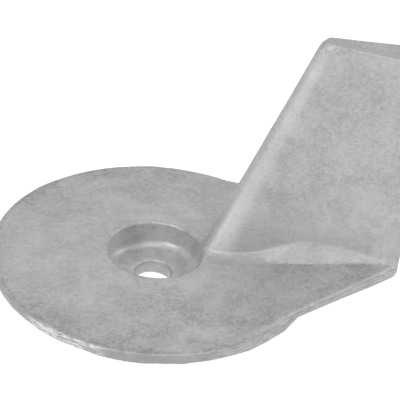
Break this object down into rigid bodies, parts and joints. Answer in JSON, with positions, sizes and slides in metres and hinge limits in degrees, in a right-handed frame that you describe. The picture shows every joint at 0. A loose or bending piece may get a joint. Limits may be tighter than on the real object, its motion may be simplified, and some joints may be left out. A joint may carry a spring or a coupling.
{
  "type": "trim tab anode",
  "caption": "Cast sacrificial trim-tab anode: round plate with a tapering tail, a swept wedge fin and a raised hub with a recessed bolt hole.",
  "frame": {"origin": "axis of the bolt hole, in the hub's mounting face", "axes": "+Z along the bolt's axis, from the mounting face towards the fin; +X from the bolt hole towards the tail"},
  "size_m": [0.119, 0.0956, 0.0804],
  "materials": {
    "cast_alloy": "matte as-cast, lightly sanded along the rim"
  },
  "bodies": {
    "root": {"anode_casting": "cast_alloy"}
  },
  "joints": []
}
